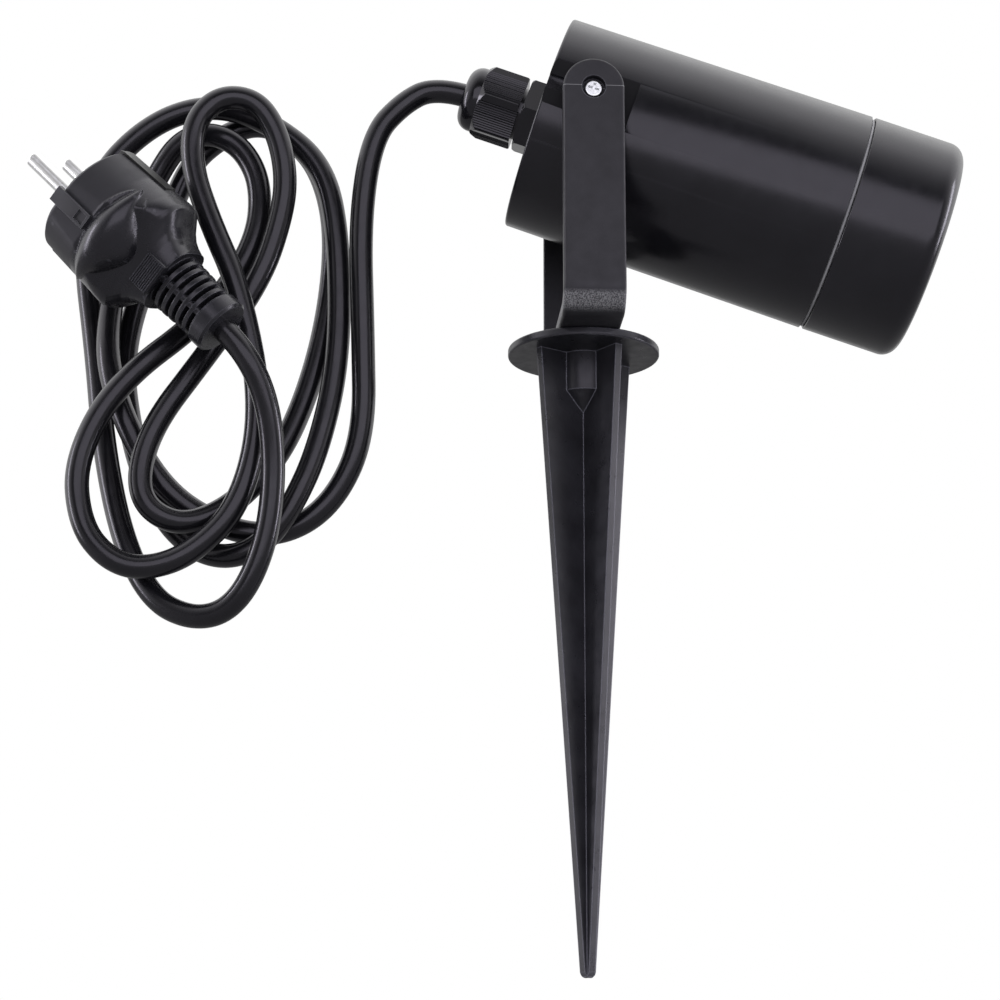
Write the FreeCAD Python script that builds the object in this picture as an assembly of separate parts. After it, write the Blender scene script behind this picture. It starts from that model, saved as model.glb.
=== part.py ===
import FreeCAD, Part
import math
import os

V = FreeCAD.Vector

# Garden spike spotlight, in millimetres, +Z up.  The origin is the centre of the
# flange's underside, where the light meets the ground.  The yoke turns on the spike
# about Z, the head tilts in the yoke about Y, and the head points along +X and down.

# ---------------------------------------------------------------- ground spike
spike_length = 183.0        # flange underside to blunt tip
rib_thick = 2.3             # wall of each blade of the cross
rib_reach_top = 16.8        # axis to a blade's edge at the flange
rib_reach_tip = 2.0         # the same where the tip's rounding starts
rib_turn = 33.0             # the cross is turned this far about Z (degrees)
boss_r = 7.5                # centre boss under the flange
boss_len = 11.8
boss_cone = 7.0             # height of the cone that dies into the blades
flange_r = 22.6
flange_thick = 2.4
flange_edge = 0.5           # rounding of the flange's rim
insert_wall = 1.3           # brass inserts' wall round their screw
pan_insert_len = 8.0

# ---------------------------------------------------------------- yoke
yoke_height = 68.5          # flange top to the tilt axis
arm_width = 18.0
arm_thick = 4.0
web_thick = 4.0
yoke_corner_r = 8.2         # outer bend between web and arms
yoke_edge_r = 0.9           # soft outer edge
tilt_washer_thick = 1.9
tilt_washer_r = 6.5
tilt_head_r = 2.75          # recessed cross-head screws at the tilt axis
tilt_head_h = 1.3
tilt_sink = 1.2             # how far the screw heads lie below the arm's face
tilt_screw_r = 1.5
tilt_screw_grip = 5.0       # depth of the screw in the housing's pad
tilt_cbore_gap = 0.75       # counterbore's radial room round the screw head
run_gap = 0.08              # radial play of the two bearings
pan_screw_r = 2.0
pan_head_r = 4.0
pan_head_h = 2.4
pan_washer_r = 6.0
pan_washer_thick = 0.8
pan_screw_grip = 7.0
drive_depth = 0.9           # cross recess in the screw heads
drive_width = 0.7

# ---------------------------------------------------------------- lamp head
tilt_rest = 18.5            # how far the head points below the horizontal (degrees)
rear_offset = 13.8          # tilt axis to the head's rear face
body_len = 95.3             # rear face to the parting seam
seam_r = 33.7
body_draft = 0.8            # the body is this much smaller at the rear (mould draft)
rear_edge_r = 0.8
wall = 3.0
rear_wall = 3.5
facet_depth = 0.8           # depth of the flat on each side that faces the arm, at the rear
facet_len = 26.3            # rear face to the step where the flat ends
slot_width = 4.6            # open-ended slot in each flat
slot_depth = 1.6
slot_len = 9.5
pad_depth = 8.0             # thickening behind each flat, takes the screw insert
pad_half = 8.0
pad_floor = 1.5             # left under the screw insert
seal_width = 1.2            # visible groove between body and front ring
seal_proud = 1.5            # ring seal's height over the spigot
spigot_step = 2.1           # the spigot is this much smaller than the body
spigot_wall = 2.7
spigot_len = 7.0
thread_gap = 0.1
ring_len = 29.0
ring_front_r = 5.0          # rounded outer front edge
ring_lip = 3.0              # thickness of the lip in front of the glass
lip_width = 7.2             # front ring's outside to the opening in its lip
gasket_thick = 1.0
gasket_inset = 0.5          # the gasket's bore is wider than the lip's
glass_thick = 4.0
glass_gap = 0.4             # glass edge to the ring's bore

# ---------------------------------------------------------------- lamp and wiring
bulb_r = 25.0               # reflector lamp with a two-pin twist base
bulb_len = 46.0
bulb_base_r = 10.0
bulb_base_len = 8.0
bulb_face_thick = 2.5
bulb_step = 1.0             # the base widens this much towards the bowl
bulb_throat_r = 16.0        # radius of the bowl's narrow end
bulb_rim_len = 8.0          # straight rim of the bowl, its lens included
bulb_lens_inset = 0.5
bulb_gap = 2.0              # lamp face to the glass
bulb_pin_r = 2.4
bulb_pin_len = 7.0
bulb_pin_pitch = 10.0
pin_hole_gap = 0.15
holder_r = 11.0
holder_len = 12.0
bracket_thick = 1.2
bracket_width = 12.0
bracket_reach = 17.0        # axis to the bracket's legs
bracket_foot = 8.0
foot_screw_r = 1.5
foot_bite = 2.0             # depth of the screws in the housing's rear wall
foot_head_r = 2.8
foot_head_h = 1.6
block_len = 10.0            # terminal block behind the lampholder
block_half_y = 10.0
block_half_z = 4.0
wire_r = 0.9
wire_spread = 6.0           # between the cores at the terminal block
core_spread = 2.0           # and where they leave the sheath
core_rise = 1.4             # the middle core lies above the other two there
core_drop = 0.8
cord_inner_end = 18.0       # rear face to the end of the cord's sheath inside

# ---------------------------------------------------------------- cable gland
gland_flats = 20.5          # across flats of both hexagons
gland_turn = 11.0           # hexagons' turn about the head's axis (degrees)
gland_rise = 0.6            # the gland's axis lies this far above the head's axis
gland_flange_len = 5.7
gland_shadow_gap = 1.0      # between the fixed hexagon and the dome nut
nut_hex_len = 12.7
nut_dome_r = 9.9
nut_len = 17.9
nut_round = 4.3             # rounded end of the dome
nut_chamfer = 1.9
nut_brow = 0.3              # the hexagon's end stands this far over the dome
nut_bore_gap = 0.25
gland_stub_r = 8.0          # threaded stubs on both sides of the fixed hexagon
gland_stub_gap = 0.1
gland_front_stub = 9.0
grommet_len = 4.5
locknut_len = 4.0
stub_past_nut = 1.0         # thread left beyond the locknut
locknut_flats = 19.0

# ---------------------------------------------------------------- mains cord
cord_r = 3.55
arc_share = 0.45            # share of the shorter run that an arc's tangent takes
split_r = 57.0              # round the tilt axis: inside it the cord turns with the head
split_gap = 0.05
# Corner points of the route after the gland, up to the plug.
cord_points = [
    (-45.5, 0, 86), (-55, 0, 80.5), (-64, 0, 69.5), (-67.5, 1, 43), (-66, 2.5, 7.5),
    (-65, 6.5, -24), (-74, 10, -44), (-88.5, 11.5, -53.5), (-105.5, 11, -52.5), (-126.5, 9, -39.5),
    (-142, 7.5, -7.5), (-143, 17, 20), (-137, 18, 44), (-129.5, 14, 61.5), (-122.5, 9.5, 70.5),
    (-113, 7.5, 72.5), (-103.5, 7, 67.5), (-97.5, 6.5, 55), (-98.5, 5, 36), (-112, 3, 12),
    (-138.5, 0, -11), (-149.5, -1, -35), (-147, -1.5, -54.5), (-138.5, -2.5, -65), (-128, -3, -68),
    (-114.5, -4, -63.5), (-100.5, -4.5, -48.5), (-95, -5.5, -19.5), (-102.5, -7, 16.5),
    (-112, -6, 38), (-118.2, -5.2, 56), (-118, -5.2, 70.5), (-110.5, -5, 79), (-100, -4.5, 78.5),
    (-93.5, -3.5, 70), (-90, -2.5, 57), (-90.5, -1, 44), (-97, 1, 22), (-114.5, 2, -4),
    (-126.5, 1, -22), (-131, 0.5, -37), (-129, 0, -48), (-119.5, 0.5, -53.5), (-109, 2.5, -50.5),
    (-98, 5.5, -41), (-86.5, 9.5, -23), (-77.5, 13, 8.5), (-74.5, 15.5, 41.5), (-79, 16.5, 63.5),
    (-89, 17.5, 76), (-99.5, 18, 80.5), (-110.5, 18.5, 76), (-121, 19.5, 66), (-129, 22.5, 42),
    (-139.5, 20.5, 6), (-134.5, 18, -25), (-125.5, 16, -46.5), (-115, 12, -58), (-104.5, 6.5, -62),
    (-94.5, 4, -58.5), (-86, 3, -47), (-78.5, 4.5, -28.5), (-73, 6.5, 0), (-73.5, 7, 37),
    (-78.5, 8, 62.5), (-95, 9.5, 77), (-113.5, 11, 83.5), (-132.5, 13.5, 77.5), (-149, 19, 61),
    (-152, 22.5, 38), (-146.5, 19.5, 4), (-142.5, 14, -27.5), (-135.5, 9, -56.5), (-126, 4.5, -75),
    (-114.5, 0, -81.5), (-104.5, -3.5, -80.5), (-97, -7, -72), (-92, -9.5, -56), (-91, -13, -37),
    (-93.5, -18, -20),
]
lead_runs = 4               # runs of the lead before the loops start

# ---------------------------------------------------------------- mains plug
plug_end = V(-106.6, -20.8, -0.2)       # centre of the strain relief's end face
plug_axis = V(-0.692, 0.120, 0.712)     # from the cord towards the pins
pin_line = V(0.420, 0.857, 0.290)       # from the near pin to the far pin
plug_len = 58.0             # end of the strain relief to the front face
plug_face_r = 18.1
plug_r = 19.2
plug_r_at = 20.0            # front face to the widest place
plug_edge = 0.8             # bevel of the front edge
plug_flat_half = 17.1       # axis to the flats beside the pins
plug_flat_len = 12.5
shoulder_at = 27.0          # the sides without pins stay wide up to here
shoulder_r = 19.0
shoulder_round = 2.5
waist_at = 34.0             # and are down to the waist here
waist_r = 11.5
waist_round = 2.5
neck_r = 10.0
side_top_at = 21.0          # the sides with the pins slope down from here
side_waist_at = 27.5
side_waist = 11.0           # axis to the side's skin there
side_neck = 9.3             # and at the neck
eye_at = 16.5               # front face to the middle of the thumb bulges
eye_half_len = 17.4
eye_half_wide = 7.2
eye_round = 7.8             # radius of a bulge's crown
eye_top = 20.2              # axis to the crown
pad_at = 31.5               # small ribbed grip near the neck
pad_len = 8.0
pad_width = 8.5
pad_top = 12.0
pad_ribs = 9
pad_rib_h = 0.5
relief_len = 21.5           # slotted strain relief, collar included
relief_r = 8.3
relief_core_r = 5.4
collar_len = 4.8
collar_r = 8.9
collar_edge_r = 0.8
plug_straight = 9.0         # straight end of the cord before the plug
relief_rings = 6
ring_share = 0.55           # share of each pitch that is ring and not slot
spine_width = 3.0
pin_r = 2.4
pin_root_r = 2.0            # thinner where the carrier holds it
pin_len = 19.0
pin_tip_r = 1.4
pin_pitch = 19.0
bridge_wide = 4.9           # legs of the pin carrier on the flats
bridge_leg = 12.0
bridge_proud = 1.7          # how far the legs stand past the front edge
bridge_rise = 0.9
bridge_disc_r = 14.0
bridge_deep = 2.0           # thickness of the carrier's disc
bridge_inset = 1.0          # how far its legs are sunk in the flats
bridge_window = 3.3         # square window in each leg
window_deep = 0.6
window_margin = 0.8
clip_width = 8.0            # earth contact strips on the other two sides
clip_rise = 0.5             # over the front edge
clip_len = 19.0
clip_sink = 1.2

# ---------------------------------------------------------------- derived places
pivot_z = flange_thick + yoke_height
rear_r = seam_r - body_draft
facet_half = rear_r - facet_depth       # axis to the flats
lip_open_r = seam_r - lip_width
arm_inner = facet_half + tilt_washer_thick
arm_outer = arm_inner + arm_thick
web_top = flange_thick + web_thick
rear_x = -rear_offset
seam_x = rear_x + body_len
ring_x = seam_x + seal_width
front_x = ring_x + ring_len
facet_x = rear_x + facet_len
inner_x = rear_x + rear_wall
spigot_r = seam_r - spigot_step
ring_bore_r = spigot_r + thread_gap
glass_r = ring_bore_r - glass_gap
glass_end_x = front_x - ring_lip
gasket_x = glass_end_x - gasket_thick
glass_x = gasket_x - glass_thick
bulb_face_x = glass_x - bulb_gap
bulb_rear_x = bulb_face_x - bulb_len
holder_x = bulb_rear_x - holder_len
plate_x = holder_x - bracket_thick
flange_hex_x = rear_x - gland_flange_len
nut_x = flange_hex_x - gland_shadow_gap
nut_end_x = nut_x - nut_len
grommet_end_x = nut_x - gland_front_stub
grommet_x = grommet_end_x - grommet_len
X_AXIS = V(1, 0, 0)
Y_AXIS = V(0, 1, 0)
Z_AXIS = V(0, 0, 1)


def save(name, shape):
    """Write one node as a closed solid, or several, and print its size."""
    if shape.ShapeType != "Compound":
        shape = shape.removeSplitter()
    solids = shape.Solids
    if not solids or not all(s.isValid() and s.isClosed() for s in solids):
        raise RuntimeError(name + " is not a closed solid")
    whole = solids[0] if len(solids) == 1 else Part.makeCompound(solids)
    whole.exportStep("parts/" + name + ".step")
    box = shape.BoundBox
    print("%-20s %d solid(s)  %8.1f mm3  x %.1f..%.1f  y %.1f..%.1f  z %.1f..%.1f"
          % (name, len(solids), sum(s.Volume for s in solids), box.XMin, box.XMax,
             box.YMin, box.YMax, box.ZMin, box.ZMax))


def rod(r, a, b):
    """Cylinder between two points."""
    return Part.makeCylinder(r, (b - a).Length, a, b - a)


def along_x(r, x0, x1):
    """Cylinder on the X axis."""
    return rod(r, V(x0, 0, 0), V(x1, 0, 0))


def turned(points):
    """Solid of revolution about X from (x, radius) points, closed along the axis."""
    face = Part.Face(Part.makePolygon([V(x, 0, r) for x, r in points + [points[0]]]))
    return face.revolve(V(0, 0, 0), X_AXIS, 360)


def block(x0, x1, y0, y1, z0, z1):
    """Box between two planes in each direction, given in either order."""
    low = V(min(x0, x1), min(y0, y1), min(z0, z1))
    return Part.makeBox(abs(x1 - x0), abs(y1 - y0), abs(z1 - z0), low)


def hexagon(flats, x0, x1, turn):
    """Hexagonal prism on the X axis."""
    corner = flats / math.sqrt(3)
    ring = []
    for k in range(7):
        angle = math.radians(turn + 60 * k)
        ring.append(V(x0, corner * math.cos(angle), corner * math.sin(angle)))
    return Part.Face(Part.makePolygon(ring)).extrude(V(x1 - x0, 0, 0))


def edges_where(shape, test):
    return [e for e in shape.Edges if test(e)]


def rims_at(shape, x):
    """Full circles about the X axis in the plane at x."""
    return edges_where(shape, lambda e: e.Closed and abs(e.CenterOfMass.x - x) < 0.01)


def both_sides(make):
    """A piece on the near side (-Y) and its twin on the far side."""
    return Part.makeCompound([make(-1), make(1)])


def place_head(shape):
    """From the head's own frame (tilt axis at the origin, pointing +X) to the rest pose."""
    shape = shape.copy()
    shape.rotate(V(0, 0, 0), Y_AXIS, tilt_rest)
    shape.translate(V(0, 0, pivot_z))
    return shape


def on_gland_axis(shape):
    """From the head's axis up to the gland's axis."""
    shape = shape.copy()
    shape.translate(V(0, 0, gland_rise))
    return shape


def head_point(x, y, z):
    turn = FreeCAD.Rotation(Y_AXIS, tilt_rest)
    return turn.multVec(V(x, y, z)) + V(0, 0, pivot_z)


# ---------------------------------------------------------------- spike
def make_spike():
    def blade(turn):
        tip_z = -spike_length + rib_reach_tip
        left = V(-rib_reach_tip, -rib_thick / 2, tip_z)
        right = V(rib_reach_tip, -rib_thick / 2, tip_z)
        top_right = V(rib_reach_top, -rib_thick / 2, 0)
        top_left = V(-rib_reach_top, -rib_thick / 2, 0)
        edges = [
            Part.LineSegment(left, top_left).toShape(),
            Part.LineSegment(top_left, top_right).toShape(),
            Part.LineSegment(top_right, right).toShape(),
            Part.Arc(right, V(0, -rib_thick / 2, -spike_length), left).toShape(),
        ]
        plate = Part.Face(Part.Wire(edges)).extrude(V(0, rib_thick, 0))
        plate.rotate(V(0, 0, 0), Z_AXIS, turn)
        return plate

    flange = Part.makeCylinder(flange_r, flange_thick)
    flange = flange.makeFillet(flange_edge, edges_where(flange, lambda e: e.Length > flange_r))
    boss = Part.makeCylinder(boss_r, boss_len, V(0, 0, -boss_len))
    cone = Part.makeCone(boss_r - boss_cone, boss_r, boss_cone, V(0, 0, -boss_len - boss_cone))
    body = flange.multiFuse([blade(rib_turn), blade(rib_turn + 90), boss, cone])
    pocket = Part.makeCylinder(pan_screw_r + insert_wall, pan_insert_len,
                               V(0, 0, flange_thick - pan_insert_len))
    return body.cut(pocket)


def make_pan_insert():
    bottom = V(0, 0, flange_thick - pan_insert_len)
    ring = Part.makeCylinder(pan_screw_r + insert_wall, pan_insert_len, bottom)
    return ring.cut(Part.makeCylinder(pan_screw_r, pan_insert_len, bottom))


def drive_cross(centre, axis, reach):
    """Cross recess, cut into a screw head whose top centre is given."""
    bar = block(-reach, reach, -drive_width / 2, drive_width / 2, -drive_depth, 0)
    other = bar.copy()
    other.rotate(V(0, 0, 0), Z_AXIS, 90)
    cross = bar.fuse(other)
    cross.Placement = FreeCAD.Placement(centre, FreeCAD.Rotation(Z_AXIS, axis))
    return cross


def make_pan_screw():
    seat = web_top + pan_washer_thick
    shank = Part.makeCylinder(pan_screw_r, seat - flange_thick + pan_screw_grip,
                              V(0, 0, flange_thick - pan_screw_grip))
    head = Part.makeCylinder(pan_head_r, pan_head_h, V(0, 0, seat))
    head = head.makeFillet(pan_head_h / 2, edges_where(head, lambda e: e.BoundBox.ZMin > seat + 0.1
                                                       and e.Closed))
    top = V(0, 0, seat + pan_head_h)
    return shank.fuse(head).cut(drive_cross(top, Z_AXIS, pan_head_r * 0.6))


def make_pan_washer():
    ring = Part.makeCylinder(pan_washer_r, pan_washer_thick, V(0, 0, web_top))
    return ring.cut(Part.makeCylinder(pan_screw_r, pan_washer_thick, V(0, 0, web_top)))


# ---------------------------------------------------------------- yoke
def make_yoke():
    half = arm_width / 2
    top = pivot_z + half

    def u_outline(y, z, r, x):
        """Open-topped U with rounded lower corners, as a face across X."""
        bend = r * (1 - math.cos(math.pi / 4))
        edges = [
            Part.LineSegment(V(x, -y, top), V(x, -y, z + r)).toShape(),
            Part.Arc(V(x, -y, z + r), V(x, -y + bend, z + bend), V(x, -y + r, z)).toShape(),
            Part.LineSegment(V(x, -y + r, z), V(x, y - r, z)).toShape(),
            Part.Arc(V(x, y - r, z), V(x, y - bend, z + bend), V(x, y, z + r)).toShape(),
            Part.LineSegment(V(x, y, z + r), V(x, y, top)).toShape(),
            Part.LineSegment(V(x, y, top), V(x, -y, top)).toShape(),
        ]
        return Part.Face(Part.Wire(edges)).extrude(V(arm_width, 0, 0))

    outer = u_outline(arm_outer, flange_thick, yoke_corner_r, -half)
    strap = block(-half, half, -arm_outer, arm_outer, flange_thick, pivot_z)
    strap = strap.fuse(rod(half, V(0, -arm_outer, pivot_z), V(0, arm_outer, pivot_z)))
    outer = outer.common(strap).removeSplitter()

    def on_outer_skin(edge):
        middle = edge.valueAt((edge.FirstParameter + edge.LastParameter) / 2)
        if middle.z < flange_thick + 0.01:
            return False
        across = abs(abs(middle.x) - half) < 0.01
        on_arm_face = abs(abs(middle.y) - arm_outer) < 0.01
        in_bend = middle.z < flange_thick + yoke_corner_r and abs(middle.y) > arm_outer - yoke_corner_r
        rounded_top = on_arm_face and middle.z > pivot_z
        return rounded_top or (across and (on_arm_face or in_bend))

    outer = outer.makeFillet(yoke_edge_r, edges_where(outer, on_outer_skin))
    inner = u_outline(arm_inner, web_top, yoke_corner_r - arm_thick, -half)
    inner_top = block(-half, half, -arm_inner, arm_inner, pivot_z, top)
    yoke = outer.cut(inner).cut(inner_top)
    yoke = yoke.cut(Part.makeCylinder(pan_screw_r + run_gap, web_thick, V(0, 0, flange_thick)))
    for side in (-1, 1):
        hole = rod(tilt_screw_r + run_gap, V(0, side * arm_inner, pivot_z), V(0, side * arm_outer, pivot_z))
        seat = side * (arm_outer - tilt_sink - tilt_head_h)
        mouth = V(0, side * (arm_outer + 1), pivot_z)
        cbore = rod(tilt_head_r + tilt_cbore_gap, V(0, seat, pivot_z), mouth)
        yoke = yoke.cut(hole).cut(cbore)
    return yoke


def make_tilt_washers():
    def washer(side):
        a = V(0, side * facet_half, pivot_z)
        b = V(0, side * arm_inner, pivot_z)
        return rod(tilt_washer_r, a, b).cut(rod(tilt_screw_r + run_gap, a, b))
    return both_sides(washer)


def make_tilt_screws():
    """In the head's frame: they turn with the housing, and the yoke turns on them."""
    def screw(side):
        seat = side * (arm_outer - tilt_sink - tilt_head_h)
        top = V(0, seat + side * tilt_head_h, 0)
        shank = rod(tilt_screw_r, V(0, side * (facet_half - tilt_screw_grip), 0), V(0, seat, 0))
        head = rod(tilt_head_r, V(0, seat, 0), top)
        rim = edges_where(head, lambda e: e.Closed and abs(e.CenterOfMass.y - top.y) < 0.01)
        head = head.makeFillet(tilt_head_h / 2, rim)
        return shank.fuse(head).cut(drive_cross(top, V(0, side, 0), tilt_head_r * 0.62))
    return both_sides(screw)


def make_tilt_inserts():
    def insert(side):
        a = V(0, side * (facet_half - pad_depth + pad_floor), 0)
        b = V(0, side * facet_half, 0)
        return rod(tilt_screw_r + insert_wall, a, b).cut(rod(tilt_screw_r, a, b))
    return both_sides(insert)


# ---------------------------------------------------------------- head
def draft_r(x):
    """Outer radius of the body at x, in the head's frame."""
    return rear_r + (seam_r - rear_r) * (x - rear_x) / body_len


def make_housing():
    shell = turned([(rear_x, 0), (rear_x, rear_r), (seam_x, seam_r), (seam_x, 0)])
    rear_rim = rims_at(shell, rear_x)
    shell = shell.makeFillet(rear_edge_r, rear_rim)
    shell = shell.fuse(along_x(spigot_r, seam_x, seam_x + spigot_len))
    hollow = turned([(inner_x, 0), (inner_x, rear_r - wall), (seam_x, spigot_r - spigot_wall),
                     (seam_x + spigot_len, spigot_r - spigot_wall), (seam_x + spigot_len, 0)])
    shell = shell.cut(hollow)
    in_wall = turned([(rear_x, 0), (rear_x, rear_r - wall / 2),
                      (facet_x + wall, draft_r(facet_x) - wall / 2), (facet_x + wall, 0)])
    for side in (-1, 1):
        beyond = side * (seam_r + 1)
        pad = block(rear_x + rear_wall / 2, facet_x + wall, side * (facet_half - pad_depth), beyond,
                    -pad_half, pad_half)
        shell = shell.fuse(pad.common(in_wall))
        flat = side * facet_half
        shell = shell.cut(block(rear_x - 1, facet_x, flat, beyond, -seam_r, seam_r))
        shell = shell.cut(block(rear_x - 1, rear_x + slot_len, side * (facet_half - slot_depth), beyond,
                                -slot_width / 2, slot_width / 2))
        floor = V(0, side * (facet_half - pad_depth + pad_floor), 0)
        shell = shell.cut(rod(tilt_screw_r + insert_wall, floor, V(0, flat, 0)))
    shell = shell.cut(on_gland_axis(along_x(gland_stub_r + gland_stub_gap, rear_x - 1, inner_x + 1)))
    for side in (-1, 1):
        hole_z = side * (bracket_reach + bracket_foot / 2)
        shell = shell.cut(rod(foot_screw_r, V(inner_x - foot_bite, 0, hole_z), V(inner_x + 1, 0, hole_z)))
    return shell


def make_front_ring():
    ring = along_x(seam_r, ring_x, front_x)
    ring = ring.makeFillet(ring_front_r, rims_at(ring, front_x))
    ring = ring.cut(along_x(ring_bore_r, ring_x, front_x - ring_lip))
    return ring.cut(along_x(lip_open_r, ring_x, front_x + 1))


def ring_piece(r_in, r_out, x0, x1):
    return along_x(r_out, x0, x1).cut(along_x(r_in, x0, x1))


def make_bulb():
    base_x = bulb_rear_x + bulb_base_len
    lens_x = bulb_face_x - bulb_face_thick
    return turned([(bulb_rear_x, 0), (bulb_rear_x, bulb_base_r), (base_x, bulb_base_r + bulb_step),
                   (base_x + bulb_base_len, bulb_throat_r), (bulb_face_x - bulb_rim_len, bulb_r),
                   (lens_x, bulb_r), (lens_x, 0)])


def make_bulb_pins():
    def pin(side):
        y = side * bulb_pin_pitch / 2
        return rod(bulb_pin_r, V(bulb_rear_x - bulb_pin_len, y, 0), V(bulb_rear_x, y, 0))
    return both_sides(pin)


def make_holder():
    body = along_x(holder_r, holder_x, bulb_rear_x)
    for side in (-1, 1):
        y = side * bulb_pin_pitch / 2
        bottom = V(bulb_rear_x - bulb_pin_len - 1, y, 0)
        body = body.cut(rod(bulb_pin_r + pin_hole_gap, bottom, V(bulb_rear_x, y, 0)))
    return body


def make_bracket():
    half = bracket_width / 2
    plate = block(plate_x, holder_x, -half, half, -bracket_reach, bracket_reach)
    for side in (-1, 1):
        inside = side * (bracket_reach - bracket_thick)
        plate = plate.fuse(block(inner_x, holder_x, -half, half, inside, side * bracket_reach))
        plate = plate.fuse(block(inner_x, inner_x + bracket_thick, -half, half,
                                 inside, side * (bracket_reach + bracket_foot)))
        hole_z = side * (bracket_reach + bracket_foot / 2)
        hole_end = V(inner_x + bracket_thick + 1, 0, hole_z)
        plate = plate.cut(rod(foot_screw_r, V(inner_x - 1, 0, hole_z), hole_end))
    return plate


def make_bracket_screws():
    screws = []
    for side in (-1, 1):
        z = side * (bracket_reach + bracket_foot / 2)
        seat = inner_x + bracket_thick
        shank = rod(foot_screw_r, V(inner_x - foot_bite, 0, z), V(seat, 0, z))
        screws.append(shank.fuse(rod(foot_head_r, V(seat, 0, z), V(seat + foot_head_h, 0, z))))
    return Part.makeCompound(screws)


def make_wire(lane):
    """One core, from the end of the sheath to the terminal block."""
    start = rear_x + cord_inner_end
    end = plate_x - block_len
    bend = (end - start) / 3
    y = lane * wire_spread
    core_y = lane * core_spread
    z = gland_rise + (core_rise if lane == 0 else -core_drop)
    points = [V(start, core_y, z), V(start + bend, core_y, z), V(end - bend, y, 0), V(end, y, 0)]
    edges, bends = round_route(points)
    return tube(edges, wire_r)


# ---------------------------------------------------------------- gland
def make_gland_body():
    body = hexagon(gland_flats, flange_hex_x, rear_x, gland_turn)
    body = body.fuse(along_x(gland_stub_r, rear_x, inner_x + locknut_len + stub_past_nut))
    body = body.fuse(along_x(gland_stub_r, nut_x - gland_front_stub, flange_hex_x))
    return body.cut(along_x(cord_r + nut_bore_gap, nut_x - gland_front_stub, inner_x + locknut_len + 2))


def make_gland_nut():
    hex_end = nut_x - nut_hex_len
    corner = gland_flats / math.sqrt(3)
    cone = turned([(nut_x, 0), (nut_x, corner), (hex_end + nut_chamfer, corner),
                   (hex_end, nut_dome_r + nut_brow), (hex_end, 0)])
    nut = hexagon(gland_flats, hex_end, nut_x, gland_turn).common(cone)
    dome = along_x(nut_dome_r, nut_end_x, hex_end + 1)
    dome = dome.makeFillet(nut_round, rims_at(dome, nut_end_x))
    nut = nut.fuse(dome)
    nut = nut.cut(along_x(gland_stub_r + gland_stub_gap, grommet_x, nut_x + 1))
    return nut.cut(along_x(cord_r + nut_bore_gap, nut_end_x - 1, nut_x))


def make_locknut():
    ring = hexagon(locknut_flats, inner_x, inner_x + locknut_len, gland_turn)
    return ring.cut(along_x(gland_stub_r, inner_x, inner_x + locknut_len))


# ---------------------------------------------------------------- cord
def round_route(points):
    """Straight runs joined by tangent arcs, as edges, with each arc's radius and turn."""
    edges = []
    bends = []
    last = points[0]
    for before, here, after in zip(points, points[1:], points[2:]):
        back = before - here
        ahead = after - here
        reach = arc_share * min(back.Length, ahead.Length)
        back.normalize()
        ahead.normalize()
        turn = math.pi - back.getAngle(ahead)
        radius = reach / math.tan(turn / 2)
        start = here + back * reach
        end = here + ahead * reach
        middle = back + ahead
        middle.normalize()
        bulge = here + middle * (radius / math.cos(turn / 2) - radius)
        edges.append(Part.LineSegment(last, start).toShape())
        edges.append(Part.Arc(start, bulge, end).toShape())
        bends.append((radius, math.degrees(turn)))
        last = end
    edges.append(Part.LineSegment(last, points[-1]).toShape())
    return edges, bends


def tube(edges, r):
    """Round tube along joined edges; its volume is set against section times length."""
    path = Part.Wire(edges)
    start = edges[0].valueAt(edges[0].FirstParameter)
    direction = edges[0].tangentAt(edges[0].FirstParameter)
    ring = Part.Wire([Part.makeCircle(r, start, direction)])
    solid = path.makePipeShell([ring], True, False)
    share = solid.Volume / (math.pi * r * r * path.Length)
    if abs(share - 1) > 0.01:
        print("tube volume is off by a factor of %.3f" % share)
    return solid


def least_gap(edges):
    """Least distance between parts of the cord that aren't neighbours along it."""
    points = []
    for edge in edges:
        steps = max(int(edge.Length / 1.5), 1)
        for k in range(steps):
            t = edge.FirstParameter + (edge.LastParameter - edge.FirstParameter) * k / steps
            points.append(edge.valueAt(t))
    at = [0.0]
    for a, b in zip(points, points[1:]):
        at.append(at[-1] + (b - a).Length)
    least = 1e9
    for i, a in enumerate(points):
        for j in range(i + 8, len(points)):
            if at[j] - at[i] > 7 * cord_r:
                least = min(least, (a - points[j]).Length)
    return least - 2 * cord_r


def cord_route():
    end_dir = V(plug_axis)
    end_dir.normalize()
    exit_point = head_point(nut_end_x, 0, gland_rise)
    before_plug = plug_end - end_dir * plug_straight
    return [exit_point] + [V(*p) for p in cord_points] + [before_plug, plug_end]


def make_cords():
    """The cord's three stretches: on the head, the lead, and the loops up to the plug."""
    edges, bends = round_route(cord_route())
    print("cord radii: least %.1f mm" % min(radius for radius, turn in bends))
    print("cord radii along it:", " ".join("%.0f" % radius for radius, turn in bends))
    print("cord turns: most %.0f degrees" % max(turn for radius, turn in bends))
    print("cord length %.0f mm" % sum(e.Length for e in edges))
    print("least gap of the cord to itself %.2f mm" % least_gap(edges))
    lead_end = 2 * (lead_runs + 3)
    front = tube(edges[:lead_end], cord_r)
    pivot = V(0, 0, pivot_z)
    reach = V(0, 4 * cord_r, 0)
    stub = front.common(rod(split_r, pivot - reach, pivot + reach))
    lead = front.cut(rod(split_r + split_gap, pivot - reach, pivot + reach))
    loops = tube(edges[lead_end:], cord_r)
    return stub, lead, loops


# ---------------------------------------------------------------- plug
def place_plug(shape):
    """From the plug's frame (end of the strain relief at the origin, pins along +X)."""
    x = V(plug_axis)
    x.normalize()
    z = x.cross(pin_line)
    z.normalize()
    y = z.cross(x)
    turn = FreeCAD.Rotation(x, y, z, "XYZ")
    shape = shape.copy()
    shape.Placement = FreeCAD.Placement(plug_end, turn)
    return shape


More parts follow.
